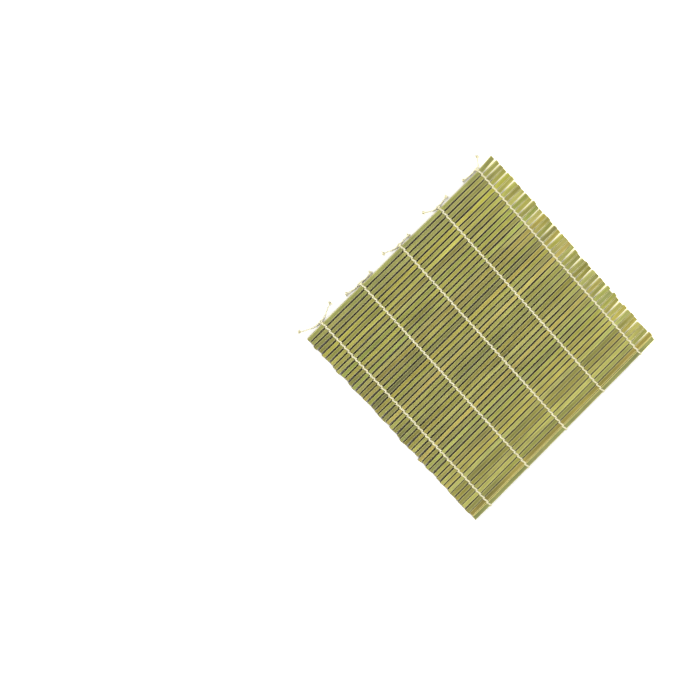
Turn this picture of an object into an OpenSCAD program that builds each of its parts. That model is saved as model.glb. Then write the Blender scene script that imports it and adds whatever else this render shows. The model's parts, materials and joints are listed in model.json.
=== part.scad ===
// Rolling mat: bamboo slats laid side by side and bound by rows of twined cotton string.
// X runs along the slats, Y across them to the knotted edge, and Z up from the underside.
// The origin is at the middle of the underside, on the surface that the mat lies on.

/* [Slats] */
// Number of slats
slat_count = 46; // [6:1:46]
// Length of a slat
slat_length = 240; // [120:1:400]
// Width of a slat
slat_width = 4.3; // [3.5:0.1:7]
// Thickness of a slat
slat_thickness = 1.5; // [1.2:0.1:3]
// Gap between two slats, where the strands cross
slat_gap = 0.8; // [0.7:0.05:1.4]
// Bevel along the two upper edges, which lets the slats fold together
upper_bevel = 0.5; // [0.3:0.05:0.6]
// Bevel along the two lower edges
lower_bevel = 0.25; // [0.1:0.05:0.4]

/* [Twine] */
// Number of rows of twine
row_count = 5; // [2:1:5]
// Distance from the slat ends to the outer rows
row_margin = 19.5; // [8:0.5:40]
// Diameter of one strand
strand_d = 1.1; // [0.8:0.05:1.6]
// Distance between the two strands where they cross in a gap
strand_spread = 1.1; // [1.05:0.05:2]
// Diameter of a strand at its ends, where it turns down into the gap
strand_end_d = 0.6; // [0.3:0.05:0.75]
// Length over which a strand narrows towards its ends
strand_taper = 0.9; // [0.4:0.1:1.5]
// Width of a strand that is squeezed flat in a gap, along the slats
squeezed_width = 0.8; // [0.5:0.05:0.9]
// Thickness of a strand that is squeezed flat in a gap
squeezed_thickness = 0.44; // [0.2:0.02:0.5]
// Depth of the flat that each strand is pressed to on the underside
pressed_depth = 0.1; // [0.05:0.01:0.15]
// Clearance between a strand and the slat that it lies on
strand_clearance = 0.03; // [0.02:0.01:0.1]
// Gap between the strand halves of two slats, at the level that the mat folds about
fold_clearance = 0.2; // [0.12:0.02:0.4]

/* [Knots and tails] */
// Diameter of the knots at the knotted edge
knot_d = 2.2; // [1.6:0.1:3]
// Length of a knot, along the slats
knot_length = 3.4; // [2.5:0.1:5]
// Diameter of the loose tails of the twine
tail_d = 1.1; // [0.8:0.1:1.1]
// Diameter of the frayed tip of each tail
tip_d = 2.4; // [1.8:0.1:2.4]
// Clearance between a tail and its frayed tip
tip_clearance = 0.1; // [0.05:0.05:0.3]

/* [Hidden] */
$fn = 48;
tail_sides = 8;

pitch = slat_width + slat_gap;
strand_r = strand_d / 2;

low_z = strand_r - pressed_depth;
slat_bottom = low_z + strand_r + strand_clearance;
slat_mid = slat_bottom + slat_thickness / 2;
slat_top = slat_bottom + slat_thickness;
high_z = slat_top + strand_clearance + strand_r;

run_length = norm([pitch, strand_spread]);
run_slant = atan2(strand_spread, pitch);
row_step = (slat_length - 2 * row_margin) / (row_count - 1);

fold_reach = strand_clearance + strand_d;
knot_reach = strand_clearance + knot_d;
mat_depth = slat_count * pitch - slat_gap;
knotted_edge_y = (mat_depth + fold_reach - knot_reach) / 2;

fold_drop = high_z - low_z;
fold_slant = atan2(strand_spread, fold_drop);
fold_half_drop = fold_drop / 2 - strand_end_d / 2 * (1 + sin(fold_slant)) - strand_clearance;
fold_length = 2 * fold_half_drop / cos(fold_slant);

// Routes of the tails, from the tip at +X past the knot to the tip at -X. The first and the last
// stretch of each are its frayed tips. X and Y are measured from the middle of the knot's outer
// face, and Z from the surface that the mat lies on.
TAIL_ROUTES = [
    [[9.4, 9.3, 1.2], [7.2, 6.1, 1.2], [5.9, 4.2, 0.8], [4.9, 2.8, 0.55], [3.8, 1.4, 0.8],
        [2.3, 0.5, 1.4], [0.9, 0.65, 1.75], [-0.9, 0.65, 1.75], [-2.3, 0.4, 1.4],
        [-4.1, 0, 0.8], [-6.1, -0.2, 0.55], [-8.2, -0.3, 0.55], [-10.3, -0.2, 0.55],
        [-12.2, 0.1, 0.85], [-14, 0.5, 1.2], [-17.8, 1.5, 1.2]],
    [[13.9, 1.3, 1.2], [10, 1.1, 1.2], [8.2, 0.5, 0.85], [6.3, 0.1, 0.55], [4.3, 0, 0.8],
        [2.3, 0.3, 1.4], [0.9, 0.65, 1.75], [-0.9, 0.65, 1.75], [-2.3, 0.3, 1.4],
        [-4.1, 0.1, 0.8], [-6.1, 0.6, 0.55], [-8.1, 1.6, 0.55], [-10.1, 2.8, 0.8],
        [-12, 4.1, 1.2], [-15.2, 6.5, 1.2]],
    [[14.4, 0.3, 1.2], [10.5, 0.4, 1.2], [8.5, 0.2, 0.85], [6.5, 0, 0.55], [4.4, 0, 0.8],
        [2.3, 0.3, 1.4], [0.9, 0.65, 1.75], [-0.9, 0.65, 1.75], [-2.3, 0.3, 1.4],
        [-4.2, -0.1, 0.8], [-6.2, 0.2, 0.55], [-8.2, 0.8, 0.55], [-10.2, 1.7, 0.55],
        [-12.2, 2.6, 0.8], [-14.1, 3.4, 1.2], [-17.9, 4.8, 1.2]],
    [[15.6, 0.5, 1.2], [11.8, -0.2, 1.2], [9.8, -0.6, 0.85], [7.8, -0.8, 0.55],
        [5.8, -0.8, 0.55], [4, -0.5, 0.8], [2.3, 0.2, 1.4], [0.9, 0.65, 1.75],
        [-0.9, 0.65, 1.75], [-2.3, 0.2, 1.4], [-4, -0.4, 0.8], [-5.9, -0.6, 0.55],
        [-7.9, -0.4, 0.55], [-9.9, 0, 0.55], [-11.8, 0.5, 0.85], [-13.7, 1, 1.2],
        [-17.5, 1.9, 1.2]],
    [[19.8, 6.5, 1.2], [16.1, 5.1, 1.2], [13.7, 4.1, 0.8], [11.4, 3.1, 0.55], [9.1, 2, 0.55],
        [6.8, 1, 0.55], [4.5, 0.3, 0.8], [2.3, 0.3, 1.4], [0.9, 0.65, 1.75],
        [-0.9, 0.65, 1.75], [-2.3, 0.3, 1.4], [-4.4, -0.1, 0.8], [-6.8, 0.2, 0.55],
        [-9.2, 0.9, 0.55], [-11.6, 1.8, 0.55], [-14, 2.8, 0.55], [-16.4, 4, 0.8],
        [-18.6, 5.5, 1.2], [-21.5, 8.3, 1.2]],
];

// Names of the nodes
function slat_name(i) = str("slat_", i < 10 ? "0" : "", i);
function knot_name(row) = str("edge_knot_", row);
function tails_name(row) = str("tie_tails_", row);

// Row 1 is at the +X end of the slats, and slat 1 is the one at the knotted edge.
function row_x(row) = slat_length / 2 - row_margin - (row - 1) * row_step;
function slat_y(i) = knotted_edge_y - slat_width / 2 - (i - 1) * pitch;
function is_first(i) = i == 1;
function is_last(i) = i == slat_count;

// Sweep of a round cord along a list of points
function cross_unit(a, b) = cross(a, b) / norm(cross(a, b));
function route_way(route, k) =
    let(n = len(route) - 1, ahead = route[min(k + 1, n)], behind = route[max(k - 1, 0)])
    (ahead - behind) / norm(ahead - behind);
function cord_ring(route, k, d) =
    let(way = route_way(route, k), side = cross_unit(way, [0, 0, 1]), up = cross(side, way))
    [for (j = [0:tail_sides - 1])
        let(turn = 360 * (j + 0.5) / tail_sides)
        route[k] + d / 2 * (cos(turn) * side + sin(turn) * up)];
function cord_points(route, first, last, d) =
    [for (k = [first:last]) each cord_ring(route, k, d)];
function cord_faces(rings, sides) = concat(
    [[for (j = [sides - 1:-1:0]) j]],
    [for (k = [0:rings - 2], j = [0:sides - 1])
        let(a = k * sides + j, b = k * sides + (j + 1) % sides)
        [a, b, b + sides, a + sides]],
    [[for (j = [0:sides - 1]) (rings - 1) * sides + j]]);

// The cord along a route, without its first and its last stretch
module cord(route, d) {
    last = len(route) - 2;
    polyhedron(cord_points(route, 1, last, d), cord_faces(last, tail_sides), convexity = 4);
}

// A round bar along Z that narrows towards both ends
module tapered_bar(length, d, end_d, taper) {
    short_taper = min(taper, 0.45 * length);
    rotate_extrude()
        polygon([
            [0, -length / 2],
            [end_d / 2, -length / 2],
            [d / 2, -length / 2 + short_taper],
            [d / 2, length / 2 - short_taper],
            [end_d / 2, length / 2],
            [0, length / 2],
        ]);
}

// One bamboo slat, flat below and bevelled along its upper edges
module bamboo_strip() {
    w = slat_width / 2;
    t = slat_thickness / 2;
    outline = [
        [-w + lower_bevel, -t],
        [w - lower_bevel, -t],
        [w, -t + lower_bevel],
        [w, t - upper_bevel],
        [w - upper_bevel, t],
        [-w + upper_bevel, t],
        [-w, t - upper_bevel],
        [-w, -t + lower_bevel],
    ];
    translate([0, 0, slat_mid])
        rotate([90, 0, 90])
            linear_extrude(height = slat_length, center = true)
                polygon(outline);
}

// The flattened part of a strand, from its run to the level that the mat folds about
module squeezed_end(bottom, top) {
    translate([-squeezed_width / 2, -squeezed_thickness / 2, bottom])
        cube([squeezed_width, squeezed_thickness, top - bottom]);
}

// A strand across one slat, from over one gap to over the next
module strand_run(z, slant) {
    translate([0, 0, z])
        rotate([-90, 0, -slant])
            tapered_bar(run_length, strand_d, strand_end_d, strand_taper);
}

// The strand over one slat, which drifts to -X on its way to the knotted edge, with the ends
// that go down into the gaps beside it
module upper_stitch(knotted, folded) {
    bottom = slat_mid + fold_clearance / 2;
    top = high_z + strand_end_d / 3;
    union() {
        strand_run(high_z, -run_slant);
        if (!knotted)
            translate([-strand_spread / 2, pitch / 2, 0]) squeezed_end(bottom, top);
        if (!folded)
            translate([strand_spread / 2, -pitch / 2, 0]) squeezed_end(bottom, top);
    }
}

// The strand under one slat, pressed flat where it lies on the table
module lower_stitch(knotted, folded) {
    bottom = low_z - strand_end_d / 3;
    top = slat_mid - fold_clearance / 2;
    difference() {
        union() {
            strand_run(low_z, run_slant);
            if (!knotted)
                translate([strand_spread / 2, pitch / 2, 0]) squeezed_end(bottom, top);
            if (!folded)
                translate([-strand_spread / 2, -pitch / 2, 0]) squeezed_end(bottom, top);
        }
        translate([-pitch, -pitch, -strand_d])
            cube([2 * pitch, 2 * pitch, strand_d]);
    }
}

// One slat with the stitches that hold it, one over it and one under it in each row
module bound_slat(i) {
    translate([0, slat_y(i), 0]) {
        color("darkkhaki") bamboo_strip();
        for (row = [1:row_count])
            translate([row_x(row), 0, 0]) {
                color("cornsilk") upper_stitch(is_first(i), is_last(i));
                color("cornsilk") lower_stitch(is_first(i), is_last(i));
            }
    }
}

// The knot that ties the two strands of a row together outside the first slat
module edge_knot(row) {
    color("cornsilk")
        translate([row_x(row), knotted_edge_y + knot_reach - knot_d / 2, slat_mid])
            rotate([0, 90, 0])
                tapered_bar(knot_length, knot_d, knot_d / 2, knot_length / 4);
}

// The point on the table that the route of a row's tails is measured from
function knot_place(row) = [row_x(row), knotted_edge_y + knot_reach, 0];

// The two loose tails of a row, one cord past the knot from one frayed tip to the other
module tie_tails(row) {
    color("ivory")
        translate(knot_place(row))
            cord(TAIL_ROUTES[row - 1], tail_d);
}

// The frayed tip of a tail, from its loose end to where the tail's own strands begin to part
module tail_tip(end, start) {
    way = end - start;
    length = norm(way) - tip_clearance;
    translate(start + way * tip_clearance / norm(way))
        rotate([0, 90, atan2(way[1], way[0])])
            translate([0, 0, length / 2])
                tapered_bar(length, tip_d, tail_d, length / 3);
}

module tail_tips() {
    color("ivory")
        for (row = [1:row_count]) {
            route = TAIL_ROUTES[row - 1];
            last = len(route) - 1;
            translate(knot_place(row)) {
                tail_tip(route[0], route[1]);
                tail_tip(route[last], route[last - 1]);
            }
        }
}

// The folds of the strands round the outer edge of the last slat, where each row begins
module end_folds() {
    fold_y = slat_y(slat_count) - slat_width / 2 - strand_clearance - strand_r;
    color("cornsilk")
        for (row = [1:row_count])
            translate([row_x(row), fold_y, (high_z + low_z) / 2])
                rotate([0, fold_slant, 0])
                    tapered_bar(fold_length, strand_d, strand_end_d, strand_taper);
}

for (i = [1:slat_count])
    bound_slat(i);
for (row = [1:row_count])
    edge_knot(row);
for (row = [1:row_count])
    tie_tails(row);
tail_tips();
end_folds();
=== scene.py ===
"""Sushi rolling mat: bamboo slats bound by five rows of twined cotton string."""

import json
import math

import bpy
import numpy as np
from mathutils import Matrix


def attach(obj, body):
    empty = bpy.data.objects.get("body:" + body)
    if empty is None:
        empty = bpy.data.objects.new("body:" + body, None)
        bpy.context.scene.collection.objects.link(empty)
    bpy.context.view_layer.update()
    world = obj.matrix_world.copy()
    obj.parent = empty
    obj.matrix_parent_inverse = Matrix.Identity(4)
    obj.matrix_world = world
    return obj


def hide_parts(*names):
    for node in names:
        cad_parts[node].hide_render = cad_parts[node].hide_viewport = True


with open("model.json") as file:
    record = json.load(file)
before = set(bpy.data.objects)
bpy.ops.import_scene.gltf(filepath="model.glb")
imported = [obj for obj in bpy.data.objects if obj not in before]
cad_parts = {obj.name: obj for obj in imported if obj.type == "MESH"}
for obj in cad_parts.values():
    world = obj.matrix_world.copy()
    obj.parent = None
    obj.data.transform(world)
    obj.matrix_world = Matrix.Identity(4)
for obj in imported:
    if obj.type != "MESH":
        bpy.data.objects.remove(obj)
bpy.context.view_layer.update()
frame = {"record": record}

# Sizes, in metres. +X runs along the slats, and +Y towards the knotted edge
MM = 0.001
JOINTS = frame["record"]["behaviour"]["joints"]
COUNT = len(JOINTS) + 1
HINGE_Y = [joint["pos_m"][1] for joint in JOINTS]
MID_Z = JOINTS[0]["pos_m"][2]
PITCH = HINGE_Y[0] - HINGE_Y[1]
SLAT_Y = [HINGE_Y[0] + PITCH / 2 - i * PITCH for i in range(COUNT)]
SLAT_WIDTH = 4.3 * MM
SLAT_THICKNESS = 1.5 * MM
HALF_LENGTH = 120 * MM
ROW_X = [x * MM for x in (100.5, 50.25, 0, -50.25, -100.5)]
STRAND_D = 1.1 * MM
STRAND_R = STRAND_D / 2
SPREAD = 1.1 * MM        # how far apart along X the two strands of a row pass a gap
CLEARANCE = 0.03 * MM
HIGH_Z = MID_Z + SLAT_THICKNESS / 2 + CLEARANCE + STRAND_R
EDGE_Y = SLAT_Y[0] + SLAT_WIDTH / 2
KNOT_D = 2.2 * MM
KNOT_FACE_Y = EDGE_Y + CLEARANCE + KNOT_D

# Camera, which looks down on the mat from a little to one side
SENSOR = 36
LENS = 121
CAMERA_PLACE = (-0.3826, 0.5495, 1.9935)
CAMERA_TURN = (-3.86, -14.59, -43.1)

# Light: each lamp's azimuth and elevation in degrees, and its strength
LAMPS = [("key", 96, 38, 2.4), ("fill", -84, 38, 2.1)]
LAMP_SPREAD = 16
HORIZON_LIGHT = 1.0
OVERHEAD_LIGHT = 0.0

# Backdrop: half a side in metres, and how much brighter than its colour it is seen
FLOOR_HALF = 6.0
BACKDROP_LIFT = 0.5      # where it lies open
WEDGE_LIFT = 1.0         # more, painted light on the floor between the slats' ends past row 1
COVER_REACH = 6 * MM     # what stands nearer than this keeps the floor dark

# Routes of the tails as in the CAD source, in mm from the middle of each knot's outer face
TAIL_ROUTES = [
    [[9.4, 9.3, 1.2], [7.2, 6.1, 1.2], [5.9, 4.2, 0.8], [4.9, 2.8, 0.55], [3.8, 1.4, 0.8],
     [2.3, 0.5, 1.4], [0.9, 0.65, 1.75], [-0.9, 0.65, 1.75], [-2.3, 0.4, 1.4],
     [-4.1, 0, 0.8], [-6.1, -0.2, 0.55], [-8.2, -0.3, 0.55], [-10.3, -0.2, 0.55],
     [-12.2, 0.1, 0.85], [-14, 0.5, 1.2], [-17.8, 1.5, 1.2]],
    [[13.9, 1.3, 1.2], [10, 1.1, 1.2], [8.2, 0.5, 0.85], [6.3, 0.1, 0.55], [4.3, 0, 0.8],
     [2.3, 0.3, 1.4], [0.9, 0.65, 1.75], [-0.9, 0.65, 1.75], [-2.3, 0.3, 1.4],
     [-4.1, 0.1, 0.8], [-6.1, 0.6, 0.55], [-8.1, 1.6, 0.55], [-10.1, 2.8, 0.8],
     [-12, 4.1, 1.2], [-15.2, 6.5, 1.2]],
    [[14.4, 0.3, 1.2], [10.5, 0.4, 1.2], [8.5, 0.2, 0.85], [6.5, 0, 0.55], [4.4, 0, 0.8],
     [2.3, 0.3, 1.4], [0.9, 0.65, 1.75], [-0.9, 0.65, 1.75], [-2.3, 0.3, 1.4],
     [-4.2, -0.1, 0.8], [-6.2, 0.2, 0.55], [-8.2, 0.8, 0.55], [-10.2, 1.7, 0.55],
     [-12.2, 2.6, 0.8], [-14.1, 3.4, 1.2], [-17.9, 4.8, 1.2]],
    [[15.6, 0.5, 1.2], [11.8, -0.2, 1.2], [9.8, -0.6, 0.85], [7.8, -0.8, 0.55],
     [5.8, -0.8, 0.55], [4, -0.5, 0.8], [2.3, 0.2, 1.4], [0.9, 0.65, 1.75],
     [-0.9, 0.65, 1.75], [-2.3, 0.2, 1.4], [-4, -0.4, 0.8], [-5.9, -0.6, 0.55],
     [-7.9, -0.4, 0.55], [-9.9, 0, 0.55], [-11.8, 0.5, 0.85], [-13.7, 1, 1.2],
     [-17.5, 1.9, 1.2]],
    [[19.8, 6.5, 1.2], [16.1, 5.1, 1.2], [13.7, 4.1, 0.8], [11.4, 3.1, 0.55], [9.1, 2, 0.55],
     [6.8, 1, 0.55], [4.5, 0.3, 0.8], [2.3, 0.3, 1.4], [0.9, 0.65, 1.75],
     [-0.9, 0.65, 1.75], [-2.3, 0.3, 1.4], [-4.4, -0.1, 0.8], [-6.8, 0.2, 0.55],
     [-9.2, 0.9, 0.55], [-11.6, 1.8, 0.55], [-14, 2.8, 0.55], [-16.4, 4, 0.8],
     [-18.6, 5.5, 1.2], [-21.5, 8.3, 1.2]],
]


def slat_name(i):
    return f"slat_{i + 1:02d}"


# Node helpers
def linear(rgb):
    """A colour written as 0-255 sRGB numbers, as linear RGBA."""
    out = []
    for c in rgb:
        c = c / 255
        out.append(c / 12.92 if c <= 0.04045 else ((c + 0.055) / 1.055) ** 2.4)
    return (*out, 1.0)


class Tree:
    """A node tree, with short calls for the nodes used here."""

    def __init__(self, tree, shader):
        self.tree = tree
        self.shader = tree.nodes[shader]
        self.owner = None

    @classmethod
    def material(cls, name):
        owner = bpy.data.materials.new(name)
        owner.use_nodes = True
        made = cls(owner.node_tree, "Principled BSDF")
        made.owner = owner
        return made

    def put(self, socket, value):
        if isinstance(value, bpy.types.NodeSocket):
            self.tree.links.new(value, socket)
        else:
            socket.default_value = value

    def node(self, kind, **settings):
        made = self.tree.nodes.new(kind)
        for key, value in settings.items():
            setattr(made, key, value)
        return made

    def attribute(self, name):
        return self.node("ShaderNodeAttribute", attribute_name=name)

    def parts(self, vector):
        made = self.node("ShaderNodeSeparateXYZ")
        self.put(made.inputs[0], vector)
        return list(made.outputs)

    def maths(self, operation, *values):
        made = self.node("ShaderNodeMath", operation=operation)
        for socket, value in zip(made.inputs, values):
            self.put(socket, value)
        return made.outputs[0]

    def times(self, a, b):
        return self.maths("MULTIPLY", a, b)

    def noise(self, vector, detail=2.0, roughness=0.5, scale=1.0):
        made = self.node("ShaderNodeTexNoise")
        self.put(made.inputs["Vector"], vector)
        made.inputs["Scale"].default_value = scale
        made.inputs["Detail"].default_value = detail
        made.inputs["Roughness"].default_value = roughness
        return made.outputs[0]

    def stretched_noise(self, place, scales, **settings):
        """Noise over three numbers, each times its own scale."""
        joined = self.node("ShaderNodeCombineXYZ")
        for socket, value, scale in zip(joined.inputs, place, scales):
            self.put(socket, self.times(value, scale))
        return self.noise(joined.outputs[0], **settings)

    def ramp(self, value, low, high, start=0.0, end=1.0):
        """value from low to high, smoothly mapped to start to end."""
        made = self.node("ShaderNodeMapRange", interpolation_type="SMOOTHSTEP")
        for socket, x in zip(made.inputs, (value, low, high, start, end)):
            self.put(socket, x)
        return made.outputs[0]

    def mix(self, share, a, b):
        made = self.node("ShaderNodeMix", data_type="RGBA")
        self.put(made.inputs[0], share)
        self.put(made.inputs[6], a)
        self.put(made.inputs[7], b)
        return made.outputs[2]

    def scaled(self, colour, factor):
        """The colour times a number."""
        made = self.node("ShaderNodeVectorMath", operation="SCALE")
        self.put(made.inputs[0], colour)
        self.put(made.inputs["Scale"], factor)
        return made.outputs[0]

    def bump(self, height, strength, distance, normal=None):
        made = self.node("ShaderNodeBump")
        made.inputs["Strength"].default_value = strength
        made.inputs["Distance"].default_value = distance
        self.put(made.inputs["Height"], height)
        if normal is not None:
            self.put(made.inputs["Normal"], normal)
        return made.outputs[0]


# Colours of the bamboo beside each slat's own tone
DARK_FLECK = linear((112, 96, 48))
PALE_FLECK = linear((214, 208, 150))
# The pale line along the top edges: partly worn skin, partly a painted highlight
WORN_SKIN_AND_HIGHLIGHT = linear((212, 208, 142))
# Painted shade on the top corners where the slats shut each other in
PAINTED_CORNER_SHADE = linear((76, 72, 26))
SHAVED_EDGE = linear((226, 212, 122))
SPLIT_DARK = linear((150, 138, 74))
SPLIT_PALE = linear((186, 172, 104))
# Painted shade on the split sides between slats: a dark colour where there is only shade
PAINTED_SIDE_SHADE = linear((38, 32, 10))
INNER_FACE = linear((196, 184, 122))
SAWN_STRAW = linear((200, 186, 124))
SAWN_FIBRE = linear((132, 114, 62))
DRY_END = linear((186, 172, 112))

# Colours of the cotton and of the floor
COTTON_CREAM = linear((255, 248, 204))
COTTON_WHITE = linear((255, 251, 216))
# Painted shade in the grooves between the cotton's plies
COTTON_GROOVE_SHADE = linear((236, 214, 160))
FLOOR_DULL = (0.975, 0.975, 0.975, 1)
FLOOR_WHITE = (1.0, 1.0, 1.0, 1)
OPEN_GLOW = linear((255, 255, 252))
# Painted light: the warm glow of the floor strip between the slats' ends
WEDGE_GLOW = linear((255, 250, 206))


def bamboo_material():
    t = Tree.material("bamboo")
    tone = t.attribute("tone").outputs["Color"]
    # Millimetres along and across the slat with a number of its own, then shares of half its width
    # and half its thickness with how near the end is
    place = t.parts(t.attribute("place").outputs["Vector"])
    across, height, tip = t.parts(t.attribute("side").outputs["Vector"])
    shut_in = t.attribute("shut_in").outputs["Fac"]
    shaved = t.attribute("shaved").outputs["Fac"]

    # Cloudy patches along each slat, then streaks, then single fibres, then flecks
    patches = t.stretched_noise(place, (0.07, 0.22, 1))
    streaks = t.stretched_noise(place, (0.035, 1.5, 1), detail=4.0, roughness=0.62)
    fibres = t.stretched_noise(place, (0.12, 7.0, 1), detail=3.0, roughness=0.7)
    flecks = t.stretched_noise(place, (0.55, 3.4, 1), detail=1.0)
    colour = t.scaled(tone, t.ramp(patches, 0.3, 0.7, 0.90, 1.09))
    colour = t.scaled(colour, t.ramp(streaks, 0.28, 0.72, 0.84, 1.15))
    colour = t.scaled(colour, t.ramp(fibres, 0.3, 0.7, 0.92, 1.08))
    colour = t.mix(t.ramp(flecks, 0.70, 0.78, 0.0, 0.40), colour, DARK_FLECK)
    colour = t.mix(t.ramp(flecks, 0.30, 0.24, 0.0, 0.28), colour, PALE_FLECK)

    # The upper face: pale lines along the edges, partly worn skin and partly a painted highlight, painted
    # shade on the corners where the slats shut each other in, and bare edges where the skin is shaved off
    edge = t.maths("ABSOLUTE", across)
    top = t.ramp(height, 0.25, 0.6)
    # Pale lines along the edges: partly worn skin, partly a painted highlight
    worn_and_highlight = t.times(t.ramp(edge, 0.55, 0.74), t.ramp(streaks, 0.3, 0.6, 0.3, 0.6))
    colour = t.mix(t.times(worn_and_highlight, top), colour, WORN_SKIN_AND_HIGHLIGHT)
    # Painted shade: the top corners darken where the slats shut each other in
    corner_shade = t.times(t.ramp(edge, 0.81, 0.91), t.times(shut_in, 0.92))
    colour = t.mix(t.times(corner_shade, top), colour, PAINTED_CORNER_SHADE)
    colour = t.mix(t.times(shaved, t.ramp(edge, 0.7, 0.84)), colour, SHAVED_EDGE)

    # The split sides, with painted shade where they are shut in, and the paler inner face below
    split_side = t.times(t.ramp(edge, 0.93, 0.98), t.ramp(height, 0.75, 0.45))
    bare = t.mix(t.ramp(fibres, 0.35, 0.65), SPLIT_DARK, SPLIT_PALE)
    colour = t.mix(t.times(split_side, 0.85), colour, bare)
    # Painted shade on the sides that are shut in between slats
    colour = t.mix(t.times(split_side, shut_in), colour, PAINTED_SIDE_SHADE)
    colour = t.mix(t.ramp(height, -0.62, -0.85, 0.0, 0.6), colour, INNER_FACE)

    # The sawn ends: straw-coloured, with the darker ends of the fibre bundles
    facing_x = t.maths("ABSOLUTE", t.parts(t.node("ShaderNodeTexCoord").outputs["Normal"])[0])
    pores = t.stretched_noise((place[2], place[1], height), (1, 7.0, 5.0))
    end_grain = t.mix(t.ramp(pores, 0.42, 0.6), SAWN_STRAW, SAWN_FIBRE)
    colour = t.mix(t.times(tip, 0.45), colour, DRY_END)
    colour = t.mix(t.ramp(facing_x, 0.7, 0.9), colour, end_grain)
    t.put(t.shader.inputs["Base Color"], colour)

    t.put(t.shader.inputs["Roughness"], t.ramp(streaks, 0.3, 0.7, 0.46, 0.64))
    t.shader.inputs["Specular IOR Level"].default_value = 0.3
    ridges = t.bump(streaks, 0.5, 0.09 * MM)
    t.put(t.shader.inputs["Normal"], t.bump(fibres, 0.5, 0.04 * MM, ridges))
    return t.owner


def cotton_material():
    t = Tree.material("cotton")
    yarn = t.parts(t.attribute("yarn").outputs["Vector"])
    groove = t.attribute("groove").outputs["Fac"]
    hair = t.stretched_noise(yarn, (5.5, 5.5, 0.8), detail=3.0, roughness=0.65)
    cloud = t.stretched_noise(yarn, (0.7, 0.7, 0.25))
    colour = t.mix(t.ramp(cloud, 0.35, 0.65), COTTON_CREAM, COTTON_WHITE)
    # Painted shade: darker in the grooves between the plies
    colour = t.mix(t.times(groove, 0.22), colour, COTTON_GROOVE_SHADE)
    colour = t.scaled(colour, t.ramp(hair, 0.3, 0.7, 0.95, 1.0))
    t.put(t.shader.inputs["Base Color"], colour)
    t.shader.inputs["Roughness"].default_value = 0.85
    t.shader.inputs["Specular IOR Level"].default_value = 0.2
    t.shader.inputs["Sheen Weight"].default_value = 0.5
    t.shader.inputs["Sheen Roughness"].default_value = 0.5
    t.put(t.shader.inputs["Normal"], t.bump(hair, 0.6, 0.05 * MM))
    return t.owner


def seen_directly(t):
    """1 for what the camera, gloss and glass see, and 0 for light that falls on things."""
    path = t.node("ShaderNodeLightPath").outputs
    seen = t.maths("MAXIMUM", path["Is Camera Ray"], path["Is Glossy Ray"])
    return t.maths("MAXIMUM", seen, path["Is Transmission Ray"])


def floor_material():
    """Nearly white. It is seen brighter than its colour where it lies open, and lights nothing."""
    t = Tree.material("floor")
    place = t.node("ShaderNodeTexCoord").outputs["Object"]
    x, y = t.parts(place)[:2]
    t.put(t.shader.inputs["Base Color"], t.mix(t.noise(place, scale=60.0), FLOOR_DULL, FLOOR_WHITE))
    t.shader.inputs["Roughness"].default_value = 0.9
    t.shader.inputs["Specular IOR Level"].default_value = 0.0
    around = t.node("ShaderNodeAmbientOcclusion", samples=8)
    around.inputs["Distance"].default_value = COVER_REACH
    lift = t.ramp(around.outputs["AO"], 0.4, 0.7, 0.0, BACKDROP_LIFT)

    # Painted light: a soft glowing strip on the floor below the slats' ends past row 1, brighter and
    # warmer, so the wedges between them look lit
    middle_y = (SLAT_Y[0] + SLAT_Y[-1]) / 2
    half_depth = (SLAT_Y[0] - SLAT_Y[-1] + SLAT_WIDTH) / 2
    off_middle = t.maths("ABSOLUTE", t.maths("SUBTRACT", y, middle_y))
    inner = t.ramp(x, HALF_LENGTH - 24 * MM, HALF_LENGTH - 8 * MM)
    outer = t.ramp(x, HALF_LENGTH + 12 * MM, HALF_LENGTH + 2 * MM)
    painted_glow_strip = t.times(t.times(inner, outer), t.ramp(off_middle, half_depth + 10 * MM, half_depth))
    lift = t.maths("ADD", lift, t.times(painted_glow_strip, WEDGE_LIFT))
    t.put(t.shader.inputs["Emission Color"], t.mix(painted_glow_strip, OPEN_GLOW, WEDGE_GLOW))
    t.put(t.shader.inputs["Emission Strength"], t.times(lift, seen_directly(t)))
    return t.owner


# Mesh helpers
class Builder:
    """Collects tubes and shells into one mesh with its attributes."""

    def __init__(self):
        self.points, self.faces, self.floats, self.vectors = [], [], {}, {}
        self.count = 0

    def add(self, points, faces, floats, vectors):
        self.points.append(points)
        self.faces += [[k + self.count for k in face] for face in faces]
        self.count += len(points)
        for kept, given in ((self.floats, floats), (self.vectors, vectors)):
            for name, values in given.items():
                kept.setdefault(name, []).append(values)

    def piece(self, name, material, sharp=50):
        mesh = bpy.data.meshes.new(name)
        mesh.from_pydata(np.concatenate(self.points).tolist(), [], self.faces)
        for kind, kept, key in (("FLOAT", self.floats, "value"), ("FLOAT_VECTOR", self.vectors, "vector")):
            for label, values in kept.items():
                made = mesh.attributes.new(label, kind, "POINT")
                made.data.foreach_set(key, np.concatenate(values).astype(np.float32).ravel())
        mesh.materials.append(material)
        mesh.shade_smooth()
        mesh.set_sharp_from_angle(angle=math.radians(sharp))
        mesh.update()
        obj = bpy.data.objects.new(name, mesh)
        bpy.context.scene.collection.objects.link(obj)
        return obj


def ring_faces(rings, sides):
    """Faces of a closed tube, with a fan at each end round one extra point: first, then last."""
    faces = []
    for k in range(rings - 1):
        for j in range(sides):
            a, b = k * sides + j, k * sides + (j + 1) % sides
            faces.append([a, b, b + sides, a + sides])
    first, last = rings * sides, rings * sides + 1
    base = (rings - 1) * sides
    for j in range(sides):
        following = (j + 1) % sides
        faces.append([first, following, j])
        faces.append([last, base + j, base + following])
    return faces


def capped(values, share=1.0):
    """values with one more for each end's extra point: that of the end's first point, times share."""
    return np.concatenate([values, values[:1] * share, values[-1:] * share])


def unit(v):
    return v / np.maximum(np.linalg.norm(v, axis=-1, keepdims=True), 1e-12)


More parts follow.
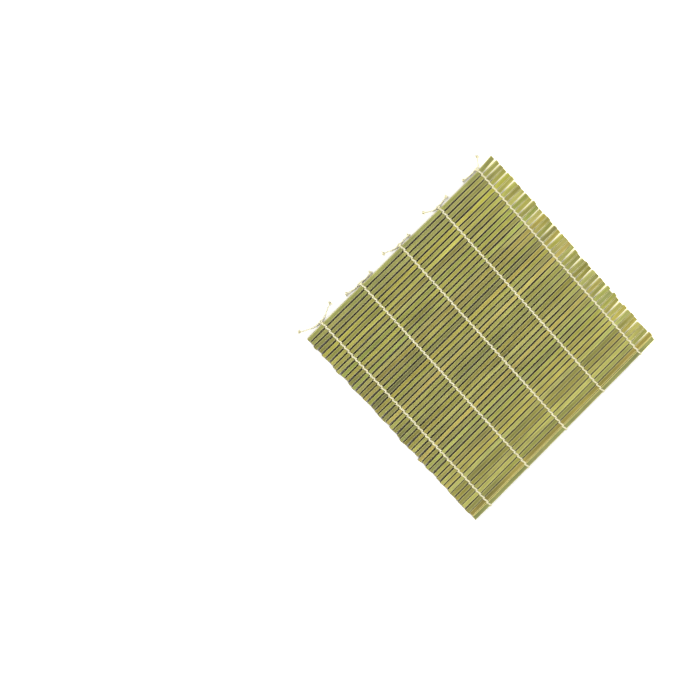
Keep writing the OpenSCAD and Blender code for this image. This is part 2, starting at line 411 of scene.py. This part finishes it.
def along_of(points):
    return np.concatenate([[0], np.cumsum(np.linalg.norm(np.diff(points, axis=0), axis=1))])


def respaced(points, step):
    """The line through points again, at even steps of about that length."""
    along = along_of(points)
    at = np.linspace(0, along[-1], max(2, int(round(along[-1] / step)) + 1))
    return np.stack([np.interp(at, along, points[:, k]) for k in range(3)], axis=1)


def smoothed(points, step, pieces=16):
    """A Catmull-Rom curve through points, of that many pieces between two, at even steps."""
    p = np.array(points, float)
    p = np.concatenate([[2 * p[0] - p[1]], p, [2 * p[-1] - p[-2]]])
    out = []
    for k in range(1, len(p) - 2):
        for t in np.linspace(0, 1, pieces, endpoint=False):
            out.append(
                0.5
                * (
                    2 * p[k]
                    + (p[k + 1] - p[k - 1]) * t
                    + (2 * p[k - 1] - 5 * p[k] + 4 * p[k + 1] - p[k + 2]) * t**2
                    + (3 * p[k] - p[k - 1] - 3 * p[k + 1] + p[k + 2]) * t**3
                )
            )
    out.append(p[-2])
    return respaced(np.array(out), step)


# String: plies, whose sizes are shares of the string's radius, and the length of one turn
PLIES = 3
PLY_OFFSET = 0.36
PLY_R = 0.66
GROOVE_DEPTH = 0.26
END_BULGE = 0.3
TWIST = 3.3 * MM


def twine_tube(
    builder, line, radius, phase=0.0, squeeze=None, broad=None, side=None, sides=12, floor=0.0, twist=TWIST
):
    """A string along line. radius is one number or one a point. The section's first axis keeps to
    the direction side, where it is broad times as wide; squeeze scales the other."""
    n = len(line)
    along = along_of(line)
    way = unit(np.gradient(line, axis=0))
    if side is None:
        a = np.zeros_like(line)
        a[0] = unit(np.cross(way[0], [0.3, 0.2, 1.0]))
        for k in range(1, n):
            a[k] = unit(a[k - 1] - way[k] * (a[k - 1] @ way[k]))
    else:
        a = unit(side - way * (way @ side)[:, None])
    b = np.cross(way, a)
    radius = np.broadcast_to(radius, n)
    squeeze = np.ones(n) if squeeze is None else squeeze
    broad = np.ones(n) if broad is None else broad

    ring = 2 * math.pi * np.arange(sides) / sides
    turn = phase + 2 * math.pi * along[:, None] / twist + ring[None]
    in_ply = (ring + math.pi / PLIES) % (2 * math.pi / PLIES) - math.pi / PLIES
    lobe = PLY_OFFSET * np.cos(in_ply) + np.sqrt(PLY_R**2 - (PLY_OFFSET * np.sin(in_ply)) ** 2)
    u = radius[:, None] * lobe[None] * np.cos(turn)
    v = radius[:, None] * lobe[None] * np.sin(turn)
    flat_u, flat_v = u * broad[:, None], v * squeeze[:, None]
    points = line[:, None] + flat_u[..., None] * a[:, None] + flat_v[..., None] * b[:, None]
    points = points.reshape(-1, 3)
    ends = [line[0] - way[0] * radius[0] * END_BULGE, line[-1] + way[-1] * radius[-1] * END_BULGE]
    points = np.concatenate([points, ends])
    points[:, 2] = np.maximum(points[:, 2], floor)

    groove = np.tile((PLY_OFFSET + PLY_R - lobe) / GROOVE_DEPTH, n)
    yarn = np.stack([u, v, np.broadcast_to(along[:, None], u.shape)], axis=-1).reshape(-1, 3) / MM
    # Each string takes its fluff from another place
    yarn += [phase * 3, 0, phase * 11]
    builder.add(
        points,
        ring_faces(n, sides),
        {"groove": np.concatenate([groove, [0.5, 0.5]])},
        {"yarn": capped(yarn)},
    )


# Camera
def make_camera():
    data = bpy.data.cameras.new("camera")
    data.sensor_width = SENSOR
    data.lens = LENS
    camera = bpy.data.objects.new("camera", data)
    camera.location = CAMERA_PLACE
    camera.rotation_euler = [math.radians(angle) for angle in CAMERA_TURN]
    bpy.context.scene.collection.objects.link(camera)
    bpy.context.scene.camera = camera


bpy.context.scene.view_settings.view_transform = "Standard"
make_camera()
BAMBOO = bamboo_material()
COTTON = cotton_material()

# Tails, with frayed tips
TAIL_STEP = 0.42 * MM
THIN_TIP = 0.52                   # share of its thickness that a tail keeps at its tip
PLY_LEANS = (-0.42, 0.05, 0.46)   # radians by which the plies part at a tip
HAIRS = 17                        # to a ply
HAIR_POINTS = 8
HAIR_R = np.linspace(0.13, 0.07, HAIR_POINTS) * MM
HAIR_TWIST = 8 * MM
HAIR_SAG = 0.5 * MM
HAIR_LOWEST = 0.12 * MM
ROOT_R = 0.30 * MM                # the hairs start within this radius
ROOT_DEPTH = 0.5 * MM             # and this far inside the tail


def hair_line(base, way, length, lean, rng):
    """Middle line of one loose hair, which leaves base along way and swings out sideways."""
    across = unit(np.cross([0, 0, 1.0], way))
    up = np.array([0, 0, 1.0])
    angle = lean + rng.normal(0, 0.17)
    rise = rng.normal(0.02, 0.10)
    reach = length * rng.uniform(0.72, 1.06) * (1.0 - 0.12 * abs(lean))
    bend = rng.normal(0, 0.25)
    r = ROOT_R * math.sqrt(rng.uniform())
    ring = rng.uniform(0, 2 * math.pi)
    start = base - way * ROOT_DEPTH + across * r * math.cos(ring) + up * r * math.sin(ring)
    line = []
    for s in np.linspace(0, 1, HAIR_POINTS):
        swing = (angle + bend * s * s) * s**0.65
        point = start + way * reach * s * math.cos(angle * 0.8)
        point = point + across * reach * s * math.sin(swing) * 0.95
        point = point + up * (reach * s * rise - HAIR_SAG * s * s)
        point[2] = max(point[2], HAIR_LOWEST)
        line.append(point)
    return np.array(line)


def tuft(name, base, tip, rng):
    """The frayed end of a tail: its plies come apart into loose hairs."""
    way = unit(tip - base)
    length = np.linalg.norm(tip - base)
    builder = Builder()
    for lean in PLY_LEANS:
        lean += rng.normal(0, 0.07)
        for _ in range(HAIRS):
            line = hair_line(base, way, length, lean, rng)
            phase = rng.uniform(0, 6)
            twine_tube(builder, line, HAIR_R, phase, sides=6, floor=0.01 * MM, twist=HAIR_TWIST)
    return builder.piece(name, COTTON)


def make_tails(row):
    """The two tails of a knot as one cord from tip to tip, which thins out in its frayed tips."""
    rng = np.random.default_rng(700 + row)
    origin = np.array([ROW_X[row], KNOT_FACE_Y, 0])
    route = np.array(TAIL_ROUTES[row]) * MM + origin
    line = smoothed(route, TAIL_STEP)
    along = along_of(line)
    total = along[-1]
    left = np.linalg.norm(route[1] - route[0])
    right = np.linalg.norm(route[-1] - route[-2])
    inner = np.minimum(along / left, (total - along) / right)
    radius = STRAND_R * np.clip(THIN_TIP + (1 - THIN_TIP) * inner, THIN_TIP, 1.0)
    builder = Builder()
    twine_tube(builder, line, radius, phase=row * 1.3, sides=15)
    cord = builder.piece(f"tails_{row + 1}", COTTON)
    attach(cord, slat_name(0))
    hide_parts(f"tie_tails_{row + 1}")
    for side, (base, tip) in (("a", (route[1], route[0])), ("b", (route[-2], route[-1]))):
        piece = tuft(f"tail_tip_{row + 1}{side}", base, tip, rng)
        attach(piece, slat_name(0))
        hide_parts("tail_tips")


for row in range(len(ROW_X)):
    make_tails(row)

# Knots: half-sizes of a trefoil curve, whose plain form reaches out to 2.6
KNOT_HALF = (1.18 * MM, 0.60 * MM, 0.56 * MM)
TREFOIL_REACH = 2.6
KNOT_STRAND_R = 0.54 * MM
KNOT_RINGS = 121


def make_knot(row):
    """A tight overhand knot of the row's two strands."""
    t = np.linspace(0, 2 * math.pi, KNOT_RINGS)
    centre = np.array([ROW_X[row], EDGE_Y + CLEARANCE + KNOT_D / 2, MID_Z])
    line = np.stack(
        [
            KNOT_HALF[0] * (np.sin(t) + 2 * np.sin(2 * t)) / TREFOIL_REACH,
            KNOT_HALF[1] * (np.cos(t) - 2 * np.cos(2 * t)) / TREFOIL_REACH,
            KNOT_HALF[2] * -np.sin(3 * t),
        ],
        axis=1,
    )
    builder = Builder()
    twine_tube(builder, centre + line, KNOT_STRAND_R, phase=row, sides=12)
    knot = builder.piece(f"knot_{row + 1}", COTTON)
    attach(knot, slat_name(0))
    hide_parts(f"edge_knot_{row + 1}")


for row in range(len(ROW_X)):
    make_knot(row)

# Twine
SHOWN_R = 0.63 * MM      # a strand with its fluff
STRAND_STEP = 0.28 * MM
LEG_END = 0.10 * MM      # how far a strand runs past the level that the mat folds about
LEG_RISE = 0.35 * MM     # height above that level at which it starts to lean over the slat
BEND = 0.36 * MM         # radius at which a strand turns down into a gap
FOLD_BEND = 0.62 * MM    # radius at which it turns round the last slat
OVER = 0.26 * MM         # how far a strand reaches over the middle of a gap before it turns down
HOLD = 0.38              # share of its thickness that a strand keeps in a gap
PRESSED = (0.8, 1.32)    # thickness and width of a strand over a slat, as shares of its diameter
HELD_DEPTH = 0.5 * MM    # depth in a gap at which a strand is at its thinnest
WANDER = 0.05 * MM       # how far a strand strays from its line over a slat, as a spread


def leg(y, inward, x):
    """Points of an upper strand from the hinge line up and over the slat's edge."""
    far = y - inward * OVER
    low = y - inward * 0.3 * OVER
    out = [(x, y, MID_Z - LEG_END), (x, low, MID_Z + LEG_RISE), (x, far, HIGH_Z - 1.35 * BEND)]
    for angle in (30, 60, 90):
        a = math.radians(angle)
        out.append((x, far + inward * BEND * (1 - math.cos(a)), HIGH_Z - BEND + BEND * math.sin(a)))
    return out


def mirrored(points):
    """The same strand below the slat, leaning the other way."""
    return [(-x, y, 2 * MID_Z - z) for x, y, z in points]


def upper_line(i, wander):
    """Upper strand of slat i, from the folded side to the knotted side."""
    x = SPREAD / 2
    out = leg(-PITCH / 2, 1, x)
    run_y = PITCH / 2 - BEND
    for share in (0.15, 0.5, 0.85):
        y = -run_y + 2 * run_y * share
        out.append((x - 2 * x * share + wander * math.sin(math.pi * share), y, HIGH_Z))
    if i == 0:
        # Off the first slat it runs down into the knot
        out += [(-x, PITCH / 2, HIGH_Z - 0.1 * MM), (-0.8 * x, PITCH / 2 + 0.6 * MM, HIGH_Z - 0.6 * MM)]
        out += [(-0.2 * x, PITCH / 2 + 1.1 * MM, MID_Z + 0.3 * MM)]
    else:
        out += leg(PITCH / 2, -1, -x)[::-1]
    return out


def last_line(wander):
    """The strand of the last slat: up its gap, over it, round its outer edge, under it and back up."""
    x = SPREAD / 2
    outer = -SLAT_WIDTH / 2 - CLEARANCE - STRAND_R
    upper = leg(PITCH / 2, -1, -x)
    run_y = PITCH / 2 - FOLD_BEND
    for share in (0.2, 0.5, 0.8):
        upper.append((-x + 2 * x * share + wander, run_y - 2 * run_y * share, HIGH_Z))
    for angle in (90, 67.5, 45, 22.5, 0):
        a = math.radians(angle)
        drop = FOLD_BEND * (1 - math.sin(a))
        inward = FOLD_BEND * (1 - math.cos(a))
        upper.append((x * (1 - 0.1 * drop / FOLD_BEND), outer + inward, HIGH_Z - drop))
    return upper + mirrored(upper)[::-1]


def held(points):
    """Thickness and width of a strand at each point, as shares: thin down in a gap, and pressed
    broad where it is pulled tight over a slat."""
    depth = SLAT_THICKNESS / 2 + SHOWN_R - np.abs(points[:, 2] - MID_Z)
    open_share = 1 - np.clip(depth / HELD_DEPTH, 0, 1)
    open_share = open_share**2 * (3 - 2 * open_share)
    return HOLD + (PRESSED[0] - HOLD) * open_share, 1 + (PRESSED[1] - 1) * open_share


def make_twine(i):
    """The strands over and under slat i, in all rows. The last slat's are one, folded round it."""
    rng = np.random.default_rng(300 + i)
    builder = Builder()
    for x in ROW_X:
        for upper in (True, False):
            if i == COUNT - 1 and not upper:
                continue
            wander = rng.normal(0, 1) * WANDER
            if i == COUNT - 1:
                points = last_line(wander)
            else:
                points = upper_line(i, wander)
                points = points if upper else mirrored(points)
            line = smoothed(np.array(points) + [x, SLAT_Y[i], 0], STRAND_STEP)
            squeeze, broad = held(line)
            if i in (0, COUNT - 1):
                beyond = (line[:, 1] - SLAT_Y[i]) * (1 if i == 0 else -1) > PITCH / 2 - 0.8 * MM
                squeeze = np.where(beyond, PRESSED[0], squeeze)
            phase = rng.uniform(0, 2 * math.pi)
            twine_tube(builder, line, SHOWN_R, phase, squeeze, broad, side=np.array([1.0, 0, 0]))
    twine = builder.piece(f"twine_{i + 1:02d}", COTTON)
    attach(twine, slat_name(i))
    if i == COUNT - 1:
        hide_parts("end_folds")


for i in range(COUNT):
    make_twine(i)

# Slats
SKIN = (161, 158, 79)    # the usual colour of the slats' skin
# How far the colours of most slats lie from it: brighter, more tan than green, and yellower
TONE_SPREAD = np.array([0.08, 0.5, 0.7])
# Slats that stand out, counted from the knotted edge, in the same three ways
ODD_SLATS = {
    1: (0.0, -0.6, -1.2), 5: (0.10, 0.3, 1.4), 10: (-0.02, -1.4, 0.8), 13: (0.02, -1.4, 0.3),
    15: (0.02, 1.6, 0.6), 19: (0.0, 1.4, 1.0), 22: (0.13, 1.8, -0.2), 27: (-0.07, 0.7, 1.3),
    31: (0.10, 1.9, 0.2), 34: (-0.04, -1.1, -1.4), 38: (0.09, 1.2, 0.8), 45: (-0.10, 2.0, 0.8),
    46: (-0.08, -1.3, -1.6),
}
# Section of a slat as shares of half its width and half its thickness: its right half from the
# middle of the top down, then the whole of it
HALF_SECTION = np.array(
    [
        (0.0, 1.0), (0.30, 0.985), (0.58, 0.95), (0.78, 0.89), (0.90, 0.80), (0.97, 0.62), (1.0, 0.38),
        (1.0, -0.30), (0.985, -0.72), (0.93, -0.93), (0.84, -1.0), (0.42, -1.0),
    ]
)
SECTION = np.concatenate([HALF_SECTION, [[0.0, -1.0]], HALF_SECTION[:0:-1] * [-1, 1]])
SIDES = len(SECTION)
OPEN_WIDTH = 3.95 * MM   # shown width where the slats lie open
CLOSE_WIDTH = 4.6 * MM   # shown width where they lie close: past row 1, and at the folded edge
STATIONS = 78            # places along a slat between its ends
# A slat's middle line: stops along it, and how far it strays at each. The rows hold it steadier
BOW_STOPS = np.array([-120, -100.5, -75, -50.25, -25, 0, 25, 50.25, 75, 100.5, 120]) * MM
BOWING = np.array([0, 0.05, 0.10, 0.05, 0.10, 0.05, 0.10, 0.05, 0.10, 0.05, 0]) * MM
BOW_LIMIT = 0.18 * MM
# The first slat stands off past row 1
FIRST_AT_ROW = 0.08 * MM
FIRST_AT_END = 1.7 * MM
# What keeps the grain of one slat from that of the next
GRAIN_STEP = 311.0
SEED_STEP = 7.31


def coloured(way):
    """The skin's colour, moved by shares of brightness, of tan against green, and of yellow."""
    light, tan, yellow = way
    rgb = np.array([SKIN[0] + 3.4 * tan, SKIN[1] - 2.2 * tan, SKIN[2] - 1.0 * tan - 7.0 * yellow])
    return np.array(linear(np.clip(rgb * (1 + light), 0, 255))[:3])


def end_leans(rng, sizes, share):
    """Beyond an outer row the slats gather in small bundles, with open wedges between. share is how
    much of the gap to its neighbour a slat closes."""
    out = np.zeros(COUNT)
    i = 0
    while i < COUNT:
        size = min(int(rng.choice(sizes)), COUNT - i)
        middle = i + (size - 1) / 2
        for k in range(i, i + size):
            out[k] = (k - middle) * share * (PITCH - CLOSE_WIDTH) * rng.uniform(0.85, 1.0)
        i += size
    return out


def eased(x, stops, values):
    """Values between the stops, with a flat tangent at each."""
    k = np.clip(np.searchsorted(stops, x) - 1, 0, len(stops) - 2)
    t = np.clip((x - stops[k]) / (stops[k + 1] - stops[k]), 0, 1)
    t = t * t * (3 - 2 * t)
    return values[k] + (values[k + 1] - values[k]) * t


def shown_width(i, x):
    """Width of slat i at each x. The outer stops lie past its ends, and the last two slats are
    the broadest."""
    stops = np.array([-1, -60 * MM, 70 * MM, 96 * MM, 1])
    near_end = eased(x, stops, np.array([0, 0, 0.16, 0.8, 0.8]))
    near_fold = np.clip((i - 33) / 6, 0, 1) + (0.35 if i >= COUNT - 2 else 0.0)
    return OPEN_WIDTH + (CLOSE_WIDTH - OPEN_WIDTH) * np.maximum(near_end, near_fold)


def slat_tone(i, x, rng):
    """Colour of slat i at each x, which drifts along it."""
    ways = rng.normal(0, 1, 3).clip(-2.2, 2.2) * TONE_SPREAD
    if i + 1 in ODD_SLATS:
        ways = np.array(ODD_SLATS[i + 1])
    stations = np.linspace(-1, 1, 9) * HALF_LENGTH
    drift = rng.normal(0, 1, (9, 3)) * TONE_SPREAD * [0.7, 0.7, 0.5]
    # Painted light: every slat is up to 3% brighter towards +X and darker towards -X, for light that is
    # brighter at that end
    drift[:, 0] += 0.03 * stations / HALF_LENGTH
    both = [eased(x, stations, drift[:, k]) + ways[k] for k in range(3)]
    return np.array([coloured(way) for way in zip(*both)])


def slat_bow(i, leans, rng):
    """How far slat i strays sideways at each stop. leans has its left and right ends."""
    bow = (rng.normal(0, 1, len(BOW_STOPS)) * BOWING).clip(-BOW_LIMIT, BOW_LIMIT)
    bow[0], bow[-1] = leans
    if i == 0:
        bow[-1] = FIRST_AT_END
        bow[-2] = FIRST_AT_ROW
    return bow


def slat_stations(rng):
    """Places along a slat, closer together at its ends, and how near an end each one is."""
    ends = HALF_LENGTH + rng.normal(0, 0.55, 2).clip(-1.3, 1.1) * MM
    x = np.concatenate(
        [
            [-ends[0], -ends[0] + 0.12 * MM],
            np.linspace(-ends[0] + 1.2 * MM, ends[1] - 1.2 * MM, STATIONS),
            [ends[1] - 0.12 * MM, ends[1]],
        ]
    )
    tip = np.zeros(len(x))
    tip[[0, 1, -2, -1]] = 1.0, 0.8, 0.8, 1.0
    return x, tip


def middle_line(x, bow):
    """The slat's stray at each x. Its free ends swing as straight sticks about the outer rows."""
    stops = BOW_STOPS
    middle = eased(x, stops, bow)
    left, right = x < stops[1], x > stops[-2]
    middle[left] = bow[1] + (bow[0] - bow[1]) * (stops[1] - x[left]) / (stops[1] - stops[0])
    middle[right] = bow[-2] + (bow[-1] - bow[-2]) * (x[right] - stops[-2]) / (stops[-1] - stops[-2])
    return middle


def slat_points(i, x, middle, rng):
    """Points of slat i, a ring of the section at each x."""
    breadth = shown_width(i, x) * (1 + float(np.clip(rng.normal(0, 0.012), -0.025, 0.025)))
    breadth = breadth * (1 + 0.010 * np.sin(x * rng.uniform(30, 60) + rng.uniform(0, 6)))
    shrink = np.ones(len(x))
    shrink[[0, -1]] = 0.94
    across, height = SECTION[:, 0], SECTION[:, 1]
    crown = rng.uniform(0.0, 0.05)
    height = np.where(height > 0, height * (1 - crown * np.abs(across) ** 2), height)
    y = across[None] * (breadth * shrink / 2)[:, None] + middle[:, None] + SLAT_Y[i]
    z = height[None] * (shrink * SLAT_THICKNESS / 2)[:, None] + MID_Z
    # The saw cuts slant a little
    slant = np.zeros(len(x))
    slant[:2], slant[-2:] = rng.normal(0, 0.06), rng.normal(0, 0.06)
    skewed = x[:, None] + slant[:, None] * across[None] * SLAT_WIDTH / 2
    return np.stack([skewed, y, z], axis=-1).reshape(-1, 3)


def edge_marks(i, x, across):
    """Where slat i gets painted shade, at the edges shut in between slats, and where its skin is shaved
    off.
    """
    # Past row 1 and on the mat's outer sides they are open, pale and without painted shade
    shut_in = np.clip((HALF_LENGTH - 10 * MM - x) / (16 * MM), 0, 1)
    if i == 0:
        shut_in[across > 0] = 0.0
    if i == COUNT - 1:
        shut_in[across < 0] = 0.0
    # The last two slats have lost their skin along the edges that face each other
    shaved = np.zeros(len(x))
    if i >= COUNT - 2:
        shaved[across > 0 if i == COUNT - 1 else across < 0] = 1.0
    return shut_in, shaved


def make_slat(i, leans, rng):
    bow = slat_bow(i, leans, rng)
    x, tip = slat_stations(rng)
    points = slat_points(i, x, middle_line(x, bow), rng)
    ends = np.stack([points[:SIDES].mean(0), points[-SIDES:].mean(0)])
    tone = capped(np.repeat(slat_tone(i, x, rng), SIDES, axis=0))

    across = np.tile(SECTION[:, 0], len(x))
    height = np.tile(SECTION[:, 1], len(x))
    along = points[:, 0] / MM + i * GRAIN_STEP
    place = np.stack([along, across * SLAT_WIDTH / 2 / MM, np.full(len(points), i * SEED_STEP)], axis=1)
    side = np.stack([across, height, np.repeat(tip, SIDES)], axis=1)
    shut_in, shaved = edge_marks(i, points[:, 0], across)
    builder = Builder()
    builder.add(
        np.concatenate([points, ends]),
        ring_faces(len(x), SIDES),
        {"shut_in": capped(shut_in, 0), "shaved": capped(shaved, 0)},
        {"place": capped(place), "side": capped(side, [0, 0, 1])},
    )
    slat = builder.piece(f"bamboo_{i + 1:02d}", BAMBOO, sharp=38)
    colour = slat.data.attributes.new("tone", "FLOAT_COLOR", "POINT")
    rgba = np.ones((len(tone), 4), np.float32)
    rgba[:, :3] = tone
    colour.data.foreach_set("color", rgba.ravel())
    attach(slat, slat_name(i))
    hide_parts(slat_name(i))


def make_slats():
    rng = np.random.default_rng(20)
    left = end_leans(rng, [1, 1, 2, 2, 3], 0.75)
    right = end_leans(rng, [1, 2, 2, 3, 3, 4], 1.25)
    for i in range(COUNT):
        make_slat(i, (left[i], right[i]), rng)


make_slats()


# Floor and light
def make_world():
    """White where it is seen; as light, a soft band above the horizon that fades out overhead."""
    world = bpy.data.worlds.new("world")
    bpy.context.scene.world = world
    world.use_nodes = True
    t = Tree(world.node_tree, "Background")
    upward = t.parts(t.node("ShaderNodeTexCoord").outputs["Generated"])[2]
    band = t.ramp(upward, 0.12, 0.45, HORIZON_LIGHT, OVERHEAD_LIGHT)
    t.shader.inputs["Color"].default_value = (1, 1, 1, 1)
    t.put(t.shader.inputs["Strength"], t.maths("MAXIMUM", band, seen_directly(t)))


def make_lamps():
    """Two broad lamps across the slats, too low to shine through the gaps."""
    for name, azimuth, elevation, strength in LAMPS:
        data = bpy.data.lights.new(name, "SUN")
        data.energy = strength
        data.angle = math.radians(LAMP_SPREAD)
        lamp = bpy.data.objects.new(name, data)
        lamp.rotation_euler = (0, math.radians(90 - elevation), math.radians(azimuth))
        bpy.context.scene.collection.objects.link(lamp)


def make_floor():
    mesh = bpy.data.meshes.new("floor")
    corners = [(x * FLOOR_HALF, y * FLOOR_HALF, 0) for x, y in ((-1, -1), (1, -1), (1, 1), (-1, 1))]
    mesh.from_pydata(corners, [], [(0, 1, 2, 3)])
    mesh.materials.append(floor_material())
    floor = bpy.data.objects.new("floor", mesh)
    bpy.context.scene.collection.objects.link(floor)


make_world()
make_lamps()
make_floor()
